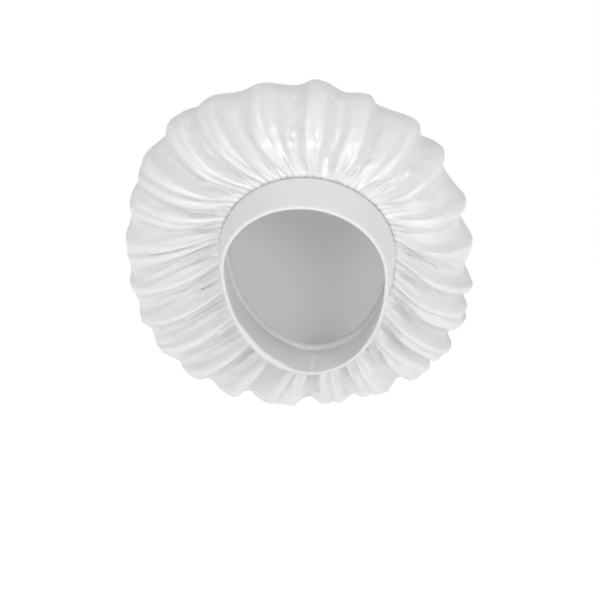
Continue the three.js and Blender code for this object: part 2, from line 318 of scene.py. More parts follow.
def channel_half(angle):
    """Half the space between the band's walls, wider where the elastic is lapped."""
    away = np.abs(angle % TURN - LAP_CENTRE)
    full = LAP_HALF + LAP_EASE / OPENING_HALF_BREADTH
    share = ease(full, full + LAP_TAPER / OPENING_HALF_BREADTH, away)
    return LAP_CHANNEL + (CHANNEL - LAP_CHANNEL) * share


def allowance_point(along, depth):
    """Offset and height of a place in the turned-in seam edges."""
    c, s = math.cos(ALLOWANCE_RISE), math.sin(ALLOWANCE_RISE)
    offset = SEAM_GAP + KNIT_THICKNESS - along * c + depth * s
    height = BAND_WIDTH + along * s + depth * c
    return offset, height


def turn_point(offset, depth):
    """Where a wall at this offset meets the turned-in edges."""
    start = allowance_point(0, depth)[0]
    return allowance_point((start - offset) / math.cos(ALLOWANCE_RISE), depth)


# Meshes


def read_points(mesh):
    flat = np.empty(len(mesh.vertices) * 3)
    mesh.vertices.foreach_get("co", flat)
    return flat.reshape(-1, 3)


def write_points(mesh, points):
    mesh.vertices.foreach_set("co", np.ascontiguousarray(points).ravel())
    mesh.update()


def place_points(bm, points):
    """Moves a bmesh's vertices to points given in band axes."""
    for vertex, place in zip(bm.verts, worn(points)):
        vertex.co = place


def mesh_piece(name, mesh, *materials):
    """Smooth-shaded object of a mesh."""
    for material in materials:
        mesh.materials.append(material)
    for polygon in mesh.polygons:
        polygon.use_smooth = True
    piece = bpy.data.objects.new(name, mesh)
    bpy.context.scene.collection.objects.link(piece)
    return piece


def new_piece(name, bm, *materials):
    mesh = bpy.data.meshes.new(name)
    bm.to_mesh(mesh)
    bm.free()
    return mesh_piece(name, mesh, *materials)


def new_ring(bm, edges):
    """Extrudes a ring of edges in place and gives the new ring's vertices and edges."""
    made = bmesh.ops.extrude_edge_only(bm, edges=edges)["geom"]
    vertices = [part for part in made if isinstance(part, bmesh.types.BMVert)]
    ring = [part for part in made if isinstance(part, bmesh.types.BMEdge) and part.is_boundary]
    return vertices, ring


def number_in_order(bm):
    """Numbers a flat round mesh from its middle outward and round from the brow, alike in every run."""
    steps = 2 * CUT_COLUMNS

    def vertex_number(vertex):
        step = round(math.atan2(vertex.co.x, -vertex.co.y) / TURN * steps) % steps
        return round(vertex.co.length / LEVEL) * steps + step

    def part_number(part):
        first, second, *rest = sorted(vertex.index for vertex in part.verts)
        last = rest[-1] if rest else 0
        return (first * len(bm.verts) + second) * len(bm.verts) + last

    bm.verts.sort(key=vertex_number)
    bm.verts.index_update()
    bm.edges.sort(key=part_number)
    bm.faces.sort(key=part_number)


def tube_blank(columns, rows):
    """Rings of the same count, one outside the other: row number is the radius, less one."""
    bm = bmesh.new()
    bmesh.ops.create_circle(bm, segments=columns, radius=1)
    ring = list(bm.edges)
    for row in range(1, rows):
        vertices, ring = new_ring(bm, ring)
        for vertex in vertices:
            vertex.co *= (row + 1) / vertex.co.length
    number_in_order(bm)
    return bm


def flat_places(bm):
    """Place, angle from the brow and radius of each vertex of a flat round mesh."""
    points = np.array([vertex.co for vertex in bm.verts])
    angle = np.arctan2(points[:, 0], -points[:, 1]) % TURN
    return points, angle, np.hypot(points[:, 0], points[:, 1])


def lay_cut(bm, places):
    """UV map in metres of cloth, so that a weave follows the piece."""
    layer = bm.loops.layers.uv.new(CUT_MAP)
    bm.verts.index_update()
    for face in bm.faces:
        for loop in face.loops:
            loop[layer].uv = places[loop.vert.index]


def closed_seam(bm, span):
    """Moves a face's UVs to one side where it crosses the start of the ring."""
    layer = bm.loops.layers.uv[CUT_MAP]
    for face in bm.faces:
        across = [loop[layer].uv.x for loop in face.loops]
        if max(across) - min(across) > span / 2:
            for loop in face.loops:
                if loop[layer].uv.x < span / 2:
                    loop[layer].uv.x += span


def thread_mesh(name, paths, radius, closed):
    """Round thread along each path of points, as a mesh."""
    curve = bpy.data.curves.new(name, "CURVE")
    curve.dimensions = "3D"
    curve.bevel_depth = radius
    curve.bevel_resolution = 1
    curve.use_fill_caps = True
    for path in paths:
        spline = curve.splines.new("POLY")
        spline.points.add(len(path) - 1)
        spline.points.foreach_set("co", np.column_stack([path, np.ones(len(path))]).ravel())
        spline.use_cyclic_u = closed
    holder = bpy.data.objects.new(name + "_line", curve)
    bpy.context.scene.collection.objects.link(holder)
    bpy.context.view_layer.update()
    mesh = bpy.data.meshes.new_from_object(holder.evaluated_get(bpy.context.evaluated_depsgraph_get()))
    bpy.data.objects.remove(holder)
    bpy.data.curves.remove(curve)
    mesh.name = name
    mesh.materials.clear()
    return mesh_piece(name, mesh, thread)


# Materials


class Finish:
    """A procedural material, built node by node."""

    def __init__(self, name, **sockets):
        self.material = bpy.data.materials.new(name)
        self.material.use_nodes = True
        self.tree = self.material.node_tree
        self.shader = self.tree.nodes["Principled BSDF"]
        for socket, value in sockets.items():
            self.shader.inputs[socket.replace("_", " ")].default_value = value

    def node(self, kind, settings=None, **links):
        made = self.tree.nodes.new(kind)
        for key, value in (settings or {}).items():
            setattr(made, key, value)
        for socket, value in links.items():
            slot = made.inputs[socket.replace("_", " ")]
            if isinstance(value, bpy.types.NodeSocket):
                self.tree.links.new(value, slot)
            else:
                slot.default_value = value
        return made

    def cloth_places(self, *scale):
        """Places on the cloth as it was cut, in metres, times a scale along each of its threads."""
        uv = self.node("ShaderNodeUVMap", {"uv_map": CUT_MAP})
        return self.node("ShaderNodeMapping", None, Vector=uv.outputs[0], Scale=(*scale, 1)).outputs[0]

    def object_places(self, scale):
        at = self.node("ShaderNodeTexCoord").outputs["Object"]
        return self.node("ShaderNodeMapping", None, Vector=at, Scale=(scale, scale, scale)).outputs[0]

    def noise(self, places, detail=3.0):
        return self.node("ShaderNodeTexNoise", None, Vector=places, Scale=1.0, Detail=detail).outputs[0]

    def wave(self, places, direction):
        settings = {"wave_type": "BANDS", "bands_direction": direction, "wave_profile": "SIN"}
        return self.node("ShaderNodeTexWave", settings, Vector=places, Scale=1.0, Distortion=0.0).outputs[1]

    def combine(self, first, second, operation="ADD"):
        made = self.node("ShaderNodeMath", {"operation": operation})
        self.tree.links.new(first, made.inputs[0])
        self.tree.links.new(second, made.inputs[1])
        return made.outputs[0]

    def colours(self, value, low, high):
        mix = self.node("ShaderNodeMix", {"data_type": "RGBA"})
        self.tree.links.new(value, mix.inputs["Factor"])
        mix.inputs[6].default_value = (*low, 1)
        mix.inputs[7].default_value = (*high, 1)
        self.tree.links.new(mix.outputs[2], self.shader.inputs["Base Color"])

    def roughness(self, value, low, high):
        spread = self.node("ShaderNodeMapRange", None, Value=value, To_Min=low, To_Max=high)
        self.tree.links.new(spread.outputs[0], self.shader.inputs["Roughness"])

    def bump(self, height, depth, under=None):
        made = self.node("ShaderNodeBump", None, Strength=1.0, Distance=depth, Height=height)
        if under is not None:
            self.tree.links.new(under, made.inputs["Normal"])
        self.tree.links.new(made.outputs[0], self.shader.inputs["Normal"])
        return made.outputs[0]


def satin_face():
    """Face of the satin: long floats of smooth thread, so it is lustrous along one direction."""
    f = Finish(
        "satin_face",
        Anisotropic=0.4,
        Sheen_Weight=0.1,
        Sheen_Roughness=0.4,
        Specular_IOR_Level=1.0,
        Subsurface_Weight=0.8,
        Subsurface_Scale=2 * MM,
        Subsurface_Radius=(1, 1, 1),
    )
    slub = f.noise(f.cloth_places(60, 900))
    cloud = f.noise(f.cloth_places(9, 9), 2.0)
    f.colours(f.combine(slub, cloud, "MULTIPLY"), SATIN_SHADE, SATIN_LIGHT)
    f.roughness(slub, 0.25, 0.32)
    floats = f.combine(f.wave(f.cloth_places(160, 620), "DIAGONAL"), slub, "MULTIPLY")
    creep = f.bump(f.noise(f.cloth_places(70, 110)), 0.05 * MM)
    f.bump(floats, 0.008 * MM, creep)
    tangent = f.node("ShaderNodeTangent", {"direction_type": "UV_MAP", "uv_map": CUT_MAP})
    f.tree.links.new(tangent.outputs[0], f.shader.inputs["Tangent"])
    return f.material


def satin_back():
    """Reverse of the satin: short floats, so it is dull."""
    f = Finish(
        "satin_back",
        Sheen_Weight=0.2,
        Sheen_Roughness=0.6,
        Specular_IOR_Level=0.35,
        Subsurface_Weight=0.8,
        Subsurface_Scale=2 * MM,
        Subsurface_Radius=(1, 1, 1),
    )
    grain = f.noise(f.cloth_places(800, 800))
    f.colours(grain, SATIN_BACK_SHADE, SATIN_BACK_LIGHT)
    f.roughness(grain, 0.6, 0.75)
    f.bump(f.combine(f.wave(f.cloth_places(300, 300), "DIAGONAL"), grain), 0.04 * MM)
    return f.material


def band_jersey():
    """Stretch knit: fine wales up the band and courses round it."""
    f = Finish("band_jersey", Sheen_Weight=0.35, Sheen_Roughness=0.5, Specular_IOR_Level=0.3)
    wales = f.wave(f.cloth_places(310, 310), "X")
    courses = f.wave(f.cloth_places(410, 410), "Y")
    loops = f.combine(wales, courses, "MULTIPLY")
    fuzz = f.noise(f.cloth_places(500, 500), 4.0)
    f.colours(f.combine(loops, fuzz, "MULTIPLY"), KNIT_SHADE, KNIT_LIGHT)
    f.roughness(fuzz, 0.78, 0.92)
    under = f.bump(f.noise(f.cloth_places(45, 60), 2.0), 0.15 * MM)
    f.bump(f.combine(loops, fuzz), 0.12 * MM, under)
    return f.material


def elastic_webbing():
    """Braided elastic: rubber ribs lengthwise under fine crossing yarns."""
    f = Finish("elastic_webbing", Sheen_Weight=0.2, Specular_IOR_Level=0.35)
    yarns = f.combine(f.wave(f.cloth_places(420, 420), "X"), f.wave(f.cloth_places(260, 260), "Y"))
    fuzz = f.noise(f.cloth_places(600, 600))
    f.colours(fuzz, ELASTIC_SHADE, ELASTIC_LIGHT)
    f.roughness(fuzz, 0.75, 0.9)
    f.bump(yarns, 0.08 * MM)
    return f.material


def sewing_thread():
    """Spun polyester thread with its twist."""
    f = Finish("sewing_thread", Sheen_Weight=0.25, Specular_IOR_Level=0.4)
    twist = f.wave(f.object_places(900), "DIAGONAL")
    fuzz = f.noise(f.object_places(1500))
    f.colours(fuzz, THREAD_SHADE, THREAD_LIGHT)
    f.roughness(fuzz, 0.5, 0.68)
    f.bump(f.combine(twist, fuzz), 0.06 * MM)
    return f.material


satin = satin_face()
satin_reverse = satin_back()
jersey = band_jersey()
webbing = elastic_webbing()
thread = sewing_thread()


# Crown


def cut_circle():
    """The satin circle laid flat: rings of columns whose number doubles as the circle grows."""
    counts = [CUT_COLUMNS]
    while counts[-1] % 2 == 0 and counts[-1] > CORE_COLUMNS:
        counts.append(counts[-1] // 2)
    counts.reverse()
    bm = bmesh.new()
    first = CUT_RADIUS * counts[0] / CUT_COLUMNS / 2
    bmesh.ops.create_circle(bm, cap_ends=True, cap_tris=True, segments=counts[0], radius=first)
    ring = [edge for edge in bm.edges if edge.is_boundary]
    for count in counts:
        outer = CUT_RADIUS * count / CUT_COLUMNS
        spacing = TURN * 0.75 * outer / count  # at the middle of rows from half the radius outward
        rows = max(1, round(outer / 2 / (spacing * CELL_STRETCH)))
        for row in range(rows):
            vertices, ring = new_ring(bm, ring)
            radius = outer / 2 * (1 + (row + 1) / rows)
            for vertex in vertices:
                vertex.co *= radius / vertex.co.length
        if count < CUT_COLUMNS:
            halved = bmesh.ops.subdivide_edges(bm, edges=ring, cuts=1)["geom_inner"]
            for part in halved:
                if isinstance(part, bmesh.types.BMVert):
                    part.co *= outer / part.co.length
            ring = [edge for edge in bm.edges if edge.is_boundary]
    for row in range(EDGE_ROWS):
        vertices, ring = new_ring(bm, ring)
        for vertex in vertices:
            vertex.co *= (CUT_RADIUS + SEAM_ALLOWANCE * (row + 1) / EDGE_ROWS) / vertex.co.length
    bmesh.ops.triangulate(bm, faces=[face for face in bm.faces if len(face.verts) > 4])
    bmesh.ops.recalc_face_normals(bm, faces=bm.faces)
    number_in_order(bm)
    return bm


def crown_knots(angle):
    """Places that the crown's smooth form passes through, from the seam to the middle of the back."""
    seam = band_point(angle, *allowance_point(0, CLEARANCE))
    reach = np.cos(angle) * np.where(np.cos(angle) > 0, CROWN_BROW_REACH, CROWN_NAPE_REACH)
    side = np.sin(angle + CROWN_FULLNESS * np.sin(2 * angle))
    belly = np.stack(
        [
            CROWN_HALF_BREADTH * side - CROWN_SIDE_DROP,
            BELLY_SAG - reach * math.cos(BELLY_LEAN),
            BAND_WIDTH + BELLY_HEIGHT + reach * math.sin(BELLY_LEAN),
        ],
        -1,
    )
    back = np.broadcast_to([-CROWN_SIDE_DROP, CROWN_SAG, BAND_WIDTH + CROWN_DEPTH], belly.shape)
    knots = [seam]
    for start, end, (reach_share, rise_share) in (
        (seam, belly, SHOULDER),
        (belly, belly, (0, 0)),
        (belly, back, BACK_RINGS[0]),
        (belly, back, BACK_RINGS[1]),
    ):
        knots.append(start + (end - start) * np.array([reach_share, reach_share, rise_share]))
    return knots + [back]


def curve_between(p0, p1, p2, p3, w):
    """Place at a share of the way from p1 to p2 on a smooth curve through four places."""
    pairs = ((p0, p1), (p1, p2), (p2, p3))
    d0, d1, d2 = (np.sqrt(np.linalg.norm(b - a, axis=-1, keepdims=True)) for a, b in pairs)
    t1 = ((p1 - p0) / d0 - (p2 - p0) / (d0 + d1) + (p2 - p1) / d1) * d1
    t2 = ((p2 - p1) / d1 - (p3 - p1) / (d1 + d2) + (p3 - p2) / d2) * d1
    square = 3 * p2 - 3 * p1 - 2 * t1 - t2
    cube = 2 * p1 - 2 * p2 + t1 + t2
    return p1 + t1 * w + square * w**2 + cube * w**3


def crown_profiles(angle, steps=240):
    """The smooth form along each angle, and the share of its length at each step."""
    knots = crown_knots(angle)
    knots = [2 * knots[0] - knots[1], *knots, 2 * knots[-1] - knots[-2]]
    spans = len(knots) - 3
    points = []
    for step in range(steps + 1):
        place = step / steps * spans
        span = min(int(place), spans - 1)
        points.append(curve_between(*knots[span : span + 4], place - span))
    points = np.array(points)
    lengths = np.linalg.norm(np.diff(points, axis=0), axis=-1)
    shares = np.vstack([np.zeros(lengths.shape[1]), np.cumsum(lengths, axis=0)])
    return points, shares / shares[-1]


COLUMN_ANGLES = np.arange(CUT_COLUMNS) / CUT_COLUMNS * TURN
PROFILE_POINTS, PROFILE_SHARES = crown_profiles(COLUMN_ANGLES)


def form_ring(share):
    """The smooth form's ring at a share of the way from the seam to the middle of the back."""
    every = np.arange(CUT_COLUMNS)
    low = np.clip((PROFILE_SHARES <= share).sum(0) - 1, 0, len(PROFILE_SHARES) - 2)
    a, b = PROFILE_SHARES[low, every], PROFILE_SHARES[low + 1, every]
    w = ((share - a) / (b - a))[:, None]
    return PROFILE_POINTS[low, every] * (1 - w) + PROFILE_POINTS[low + 1, every] * w


def gather_phase(angle):
    """Phase of the small tucks along the seam, which aren't evenly spaced."""
    wander = sum(amount * np.sin(waves * angle + start) for amount, waves, start in GATHER_WANDER)
    return angle * CUT_COLUMNS / GATHER_COLUMNS + wander


def unevenness(fold):
    """Uneven but repeatable number from -1 to 1 for each fold; multiples of the fold give others."""
    return np.sin(UNEVEN_STEP * fold + UNEVEN_START)


def by_fold(angle, value):
    """A number that every fold has of its own, carried over from each valley to the next."""
    fold = np.arange(FOLD_COUNT + 1)
    return np.interp(angle / TURN * FOLD_COUNT, fold, value(fold % FOLD_COUNT))


def fold_place(angle):
    """The fold that an angle lies in, and the share of the way through it from one valley to the next."""
    drift = FOLD_DRIFT * by_fold(angle, unevenness)
    place = (angle - drift) / TURN * FOLD_COUNT
    fold = np.floor(place)
    return fold % FOLD_COUNT, place - fold


def fold_valley(angle):
    """1 in the middle of a valley, 0 halfway to the next."""
    return 0.5 + 0.5 * np.cos(TURN * fold_place(angle)[1])


def fold_swell(angle, share):
    """How far the folds stand above the smooth form; no two are quite alike."""
    fold, phase = fold_place(angle)
    lean = RIDGE_LEAN * unevenness(4 * fold) * ease(0, LEAN_GROWTH, share)
    parting = np.where(unevenness(5 * fold) > 0, PAIR_PARTING, 0)
    ridge = np.exp(-(((np.abs(phase - 0.5 - lean) - parting) / RIDGE_WIDTH) ** 2))
    ridge *= RIDGE_HEIGHT * (1 + FOLD_SIZE_SPREAD * unevenness(2 * fold))
    ridge *= 1 - ease(RIDGE_FADE[0], RIDGE_FADE[1] + RIDGE_FADE_SPREAD * unevenness(7 * fold), share)
    valley = VALLEY_DEPTH * (1 + FOLD_SIZE_SPREAD * by_fold(angle, lambda fold: unevenness(3 * fold)))
    valley *= fold_valley(angle) * (1 - ease(*VALLEY_FADE, share))
    tucks = TUCK_HEIGHT * np.sin(gather_phase(angle)) * (1 - ease(*TUCK_FADE, share))
    return (ridge - valley) * ease(0, FOLD_GROWTH, share) + tucks * ease(0, TUCK_FADE[0], share)


def gathered_root(angle, depth):
    """First rows of the crown, drawn up along the seam into small tucks."""
    knots = crown_knots(angle)
    out = unit(knots[1] - knots[0])
    side = np.stack([np.cos(angle), np.sin(angle), 0 * angle], -1)
    up = unit(np.cross(side, out))
    size = ROOT_TUCK + ROOT_TUCK_SPREAD * uneven(angle, ROOT_WAVES, seed=21) + ROOT_TUCK_GROWTH * depth
    return knots[0] + out * depth[:, None] + up * (size * np.sin(gather_phase(angle)))[:, None]


def turned_edge(angle, along):
    """The crown's seam allowance, turned in between the band's edges and the overlock."""
    tuck = EDGE_TUCK * np.sin(gather_phase(angle))
    offset, height = allowance_point(along, CLEARANCE + SATIN_ROOM / 2)
    return band_point(angle, offset + tuck, height + tuck)


def ring_frames(rings, row):
    """Directions round, along and out of a surface at one of its rings, and the spacing round it."""
    round_it = np.roll(rings[row], -1, 0) - np.roll(rings[row], 1, 0)
    along = rings[min(row + 1, len(rings) - 1)] - rings[max(row - 1, 0)]
    out = unit(np.cross(round_it, along))
    spacing = np.linalg.norm(round_it, axis=1)
    first = round_it / spacing[:, None]
    return first, np.cross(out, first), out, spacing


def cut_places(angle, radius):
    """Column number and radius level of each vertex of the circle."""
    column = np.round(angle / TURN * CUT_COLUMNS).astype(int) % CUT_COLUMNS
    return column, np.round(radius / LEVEL).astype(int)


def guide_folds(angle, radius):
    """The worn form with plain folds, which lead the cloth."""
    column, level = cut_places(angle, radius)
    shaped = np.zeros((len(angle), 3))
    values = [value for value in np.unique(level) if value * LEVEL <= CUT_RADIUS + LEVEL]
    rings = [form_ring(1 - value * LEVEL / CUT_RADIUS) for value in values]
    for row, value in enumerate(values):
        ids = np.flatnonzero(level == value)
        share = 1 - value * LEVEL / CUT_RADIUS
        shaped[ids] = rings[row][column[ids]]
        if 0 < row and share > 0:
            inward = ring_frames(rings, row)[2][column[ids]]
            shaped[ids] -= inward * fold_swell(angle[ids], share)[:, None]
    return shaped


def eased_dome(radius):
    """Radius and drop of a dome with the circle's slant lengths but less cloth to gather at its edge."""
    slant = np.linspace(0, CUT_RADIUS + SEAM_ALLOWANCE, 400)
    slope = 1 - DOME_DRAW * ease(DOME_START, CUT_RADIUS, slant)
    step = slant[1]
    reach = np.cumsum(slope) * step - slope[0] * step
    drop = np.cumsum(np.sqrt(1 - np.clip(slope, -1, 1) ** 2)) * step
    return np.interp(radius, slant, reach), np.interp(radius, slant, drop)


def cloth_start(flat, angle, radius):
    """The circle as drawing up begins: domed a little, with its folds, tucks and creases hinted at."""
    draw = np.random.default_rng(3)
    start = flat.copy()
    reach, drop = eased_dome(radius)
    start[:, :2] *= (reach / np.maximum(radius, LEVEL))[:, None]
    start[:, 2] = draw.normal(0, CREASE_SEED, len(flat)) - drop
    fold_share = np.clip((radius / CUT_RADIUS - FOLD_SEED_START) / (1 - FOLD_SEED_START), 0, 1)
    start[:, 2] += FOLD_SEED * fold_share**1.5 * (1 - 2 * fold_valley(angle))
    tuck_share = ease(CUT_RADIUS - TUCK_SEED_REACH, CUT_RADIUS, radius)
    start[:, 2] += TUCK_SEED * tuck_share * np.sin(gather_phase(angle))
    return start


def cloth_end(angle, radius, sewn):
    """Where drawing up leads the cloth: its edge into the seam, the rest along the plain folds."""
    end = guide_folds(angle, radius)
    end[sewn] = gathered_root(angle[sewn], CUT_RADIUS - radius[sewn])
    edge = radius > CUT_RADIUS + LEVEL
    end[edge] = turned_edge(angle[edge], radius[edge] - CUT_RADIUS)
    return end - [0, 0, RING_DROP]


def drawn_up(mesh, angle, radius):
    """Cloth simulation: the flat circle's edge is drawn up onto the band while air fills it."""
    scene = bpy.context.scene
    cloth = bpy.data.objects.new("crown_cloth", mesh)
    scene.collection.objects.link(cloth)
    sewn = radius > CUT_RADIUS - SEWN_DEPTH
    write_points(mesh, cloth_start(read_points(mesh), angle, radius))
    cloth.shape_key_add(name="flat")
    drawn = cloth.shape_key_add(name="drawn")
    drawn.data.foreach_set("co", cloth_end(angle, radius, sewn).ravel())
    for value, when in ((0, 1), (1, CLOSING_FRAMES)):
        drawn.value = value
        drawn.keyframe_insert("value", frame=when)
    for curve in mesh.shape_keys.animation_data.action.fcurves:
        for key in curve.keyframe_points:
            key.interpolation = "LINEAR"
    group = cloth.vertex_groups.new(name="sewn")
    for i, held in enumerate(sewn):
        group.add([i], 1.0 if held else GUIDE_HOLD, "REPLACE")
    modifier = cloth.modifiers.new("cloth", "CLOTH")
    for name, value in SATIN_CLOTH.items():
        setattr(modifier.settings, name, value)
    modifier.settings.vertex_group_mass = group.name
    modifier.settings.effector_weights.gravity = GRAVITY_SHARE
    modifier.collision_settings.use_collision = False
    modifier.collision_settings.use_self_collision = False
    usual_gravity = scene.gravity.copy()
    scene.gravity = GRAVITY * Vector((0, math.sin(OPENING_TILT), -math.cos(OPENING_TILT)))
    last = CLOSING_FRAMES + SETTLING_FRAMES
    modifier.point_cache.frame_start = 1
    modifier.point_cache.frame_end = last
    for number in range(1, last + 1):
        scene.frame_set(number)
    settled = read_points(cloth.evaluated_get(bpy.context.evaluated_depsgraph_get()).data)
    bpy.data.objects.remove(cloth)
    scene.frame_set(1)
    scene.gravity = usual_gravity
    return settled


def folds_on_form(settled, angle, radius):
    """Takes the folds of the settled cloth, finer than its overall form, and lays them on the worn form."""
    column, level = cut_places(angle, radius)
    levels = [value for value in np.unique(level) if 0 < value * LEVEL <= CUT_RADIUS + LEVEL]
    members, broad, form = [], [], []
    for value in levels:
        ids = np.flatnonzero(level == value)
        ids = ids[np.argsort(column[ids])]
        waves = np.fft.rfft(settled[ids], axis=0)
        keep = np.exp(-((np.arange(len(waves)) / BROAD_WAVES) ** 4))[:, None]
        share = len(ids) / CUT_COLUMNS
        broad.append(np.fft.irfft((waves * keep)[: 3 * BROAD_WAVES], n=CUT_COLUMNS, axis=0) / share)
        form.append(form_ring(1 - value * LEVEL / CUT_RADIUS))
        members.append(ids)
    folds = []
    for row, ids in enumerate(members):
        at = column[ids]
        from_frame = ring_frames(broad, row)
        to_frame = ring_frames(form, row)
        calm = 1 - BACK_CALMED * ease(*BACK_CALM, 1 - levels[row] * LEVEL / CUT_RADIUS)
        fold = (settled[ids] - broad[row][at]) * calm
        parts = np.stack([(fold * axis[at]).sum(1) for axis in from_frame[:3]])
        parts[0] *= np.clip(to_frame[3][at] / from_frame[3][at], *SPREAD_LIMITS)
        folds.append(parts)
    depths = CUT_RADIUS - np.array(levels) * LEVEL
    whole = max(row for row, depth in enumerate(depths) if depth > ROOT_REACH)
    shaped = settled.copy()
    for row, ids in enumerate(members):
        at = column[ids]
        parts = folds[row]
        if row > whole:
            drawn = (max(depths[row], 0) / depths[whole]) ** ROOT_TAPER
            own = ease(ROOT_OWN_FOLDS, 1, depths[row] / depths[whole])
            parts = folds[whole] * drawn * (1 - own) + parts * own
        moved = sum(axis[at] * part[:, None] for axis, part in zip(ring_frames(form, row)[:3], parts))
        shaped[ids] = form[row][at] + moved
    sewn = radius > CUT_RADIUS - ROOT_REACH
    tucked = gathered_root(angle[sewn], np.maximum(CUT_RADIUS - radius[sewn], 0))
    hold = 1 - ease(0, ROOT_REACH, CUT_RADIUS - radius[sewn])[:, None]
    shaped[sewn] += (tucked - shaped[sewn]) * hold
    shaped[level == 0] = shaped[members[0]].mean(0)
    return shaped


def soften(bm, chosen, times):
    """Evens out the cloth's finest creases."""
    loose = [vertex for vertex, at in zip(bm.verts, chosen) if at]
    every_way = {"use_axis_x": True, "use_axis_y": True, "use_axis_z": True}
    for _ in range(times):
        bmesh.ops.smooth_vert(bm, verts=loose, factor=0.5, **every_way)


def make_crown():
    """The gathered satin, one sheet with its lustrous face outside."""
    bm = cut_circle()
    flat, angle, radius = flat_places(bm)
    trial = bpy.data.meshes.new("crown_cloth")
    bm.to_mesh(trial)
    settled = drawn_up(trial, angle, radius)
    bpy.data.meshes.remove(trial)
    shaped = folds_on_form(settled, angle, radius)
    edge = radius > CUT_RADIUS + LEVEL
    shaped[edge] = turned_edge(angle[edge], radius[edge] - CUT_RADIUS)
    lay_cut(bm, flat[:, :2])
    place_points(bm, shaped)
    soften(bm, radius < CUT_RADIUS - FIRM_ROOT, SOFTENING)
    soften(bm, radius < CUT_RADIUS * (1 - BACK_CALM[0] * BACK_SOFTENING_START), BACK_SOFTENING)
    piece = new_piece("crown_satin", bm, satin, satin_reverse)
    wall = piece.modifiers.new("cloth_thickness", "SOLIDIFY")
    wall.thickness = SATIN_THICKNESS
    wall.offset = -1
    wall.material_offset = 1
    wall.material_offset_rim = 1
    return piece


# Band


def ring_piece(name, rows, columns, material):
    """A closed ring from section rows, each a function of angle that gives offset and height."""
    bm = tube_blank(columns, len(rows) + 1)
    _, angle, radius = flat_places(bm)
    row = np.round(radius).astype(int) - 1
    points = np.zeros((len(angle), 3))
    across = np.zeros(len(angle))
    reached = 0.0
    before = None
    for number, place in enumerate([*rows, rows[0]]):
        at = row == number
        offset, height = (np.broadcast_to(part, at.sum()) for part in place(angle[at]))
        points[at] = band_point(angle[at], offset + band_ripple(angle[at], height), height)
        middle = np.array([offset.mean(), height.mean()])
        reached += 0 if before is None else np.linalg.norm(middle - before)
        across[at] = reached
        before = middle
    lay_cut(bm, np.column_stack([angle / TURN * BAND_LENGTH, across]))
    closed_seam(bm, BAND_LENGTH)
    place_points(bm, points)
    bmesh.ops.remove_doubles(bm, verts=bm.verts, dist=MERGE_DISTANCE)
    bmesh.ops.recalc_face_normals(bm, faces=bm.faces)
    return new_piece(name, bm, material)


def wall_rows(side, inner_face, heights):
    """Rows up one wall of the band; the outer wall is a little rounded by the elastic."""

    def row(height):
        def place(angle):
            half = channel_half(angle) + (0 if inner_face else KNIT_THICKNESS)
            rounded = BAND_ROUNDING * math.sin(math.pi * height / BAND_WIDTH) if side > 0 else 0
            return side * half + rounded, height

        return place

    return [row(height) for height in heights]


def fold_rows(inner_face, steps):
    """Rows round the folded edge, from the lining side under to the outer side."""

    def row(turn):
        def place(angle):
            outer = channel_half(angle) + KNIT_THICKNESS
            radius = outer - (KNIT_THICKNESS if inner_face else 0)
            return radius * math.cos(turn), outer + radius * math.sin(turn)

        return place

    return [row(math.pi + math.pi * (i + 0.5) / steps) for i in range(steps)]


def fixed_row(offset, height):
    return lambda angle: (offset, height)


def make_band():
    """The folded knit: both walls, the folded edge and both raw edges turned in at the seam."""
    under_top = -(KNIT_THICKNESS + CLEARANCE)
    under = under_top - KNIT_THICKNESS
    heights = list(np.linspace(LAP_CHANNEL + KNIT_THICKNESS, ELASTIC_TOP, WALL_ROWS))
    outer_shares = (0, 0.12, 0.5, 1)
    under_share = 0.6
    rows = [
        fixed_row(*allowance_point(SEAM_ALLOWANCE, under)),
        fixed_row(*allowance_point(SEAM_ALLOWANCE * under_share, under)),
        fixed_row(*turn_point(-SEAM_GAP - KNIT_THICKNESS, under)),
        *wall_rows(-1, False, heights[::-1]),
        *fold_rows(False, OUTER_FOLD_STEPS),
        *wall_rows(1, False, heights),
        *(fixed_row(*allowance_point(SEAM_ALLOWANCE * share, 0)) for share in outer_shares),
        fixed_row(*allowance_point(SEAM_ALLOWANCE, -KNIT_THICKNESS)),
        fixed_row(*turn_point(SEAM_GAP, -KNIT_THICKNESS)),
        *wall_rows(1, True, heights[::-1]),
        *fold_rows(True, INNER_FOLD_STEPS)[::-1],
        *wall_rows(-1, True, heights),
        fixed_row(*turn_point(-SEAM_GAP, under_top)),
        fixed_row(*allowance_point(SEAM_ALLOWANCE, under_top)),
    ]
    return ring_piece("band_knit", rows, BAND_COLUMNS, jersey)


def elastic_shift(turned):
    """The elastic's ends pass one another where they are lapped."""
    ends = 2 * LAP_HALF + LAP_EASE / OPENING_HALF_BREADTH / 2
    taper = LAP_TAPER / OPENING_HALF_BREADTH
    last = TURN + 2 * LAP_HALF - ends
    return LAP_SHIFT * (ease(last - taper, last, turned) - 1 + ease(ends, ends + taper, turned))


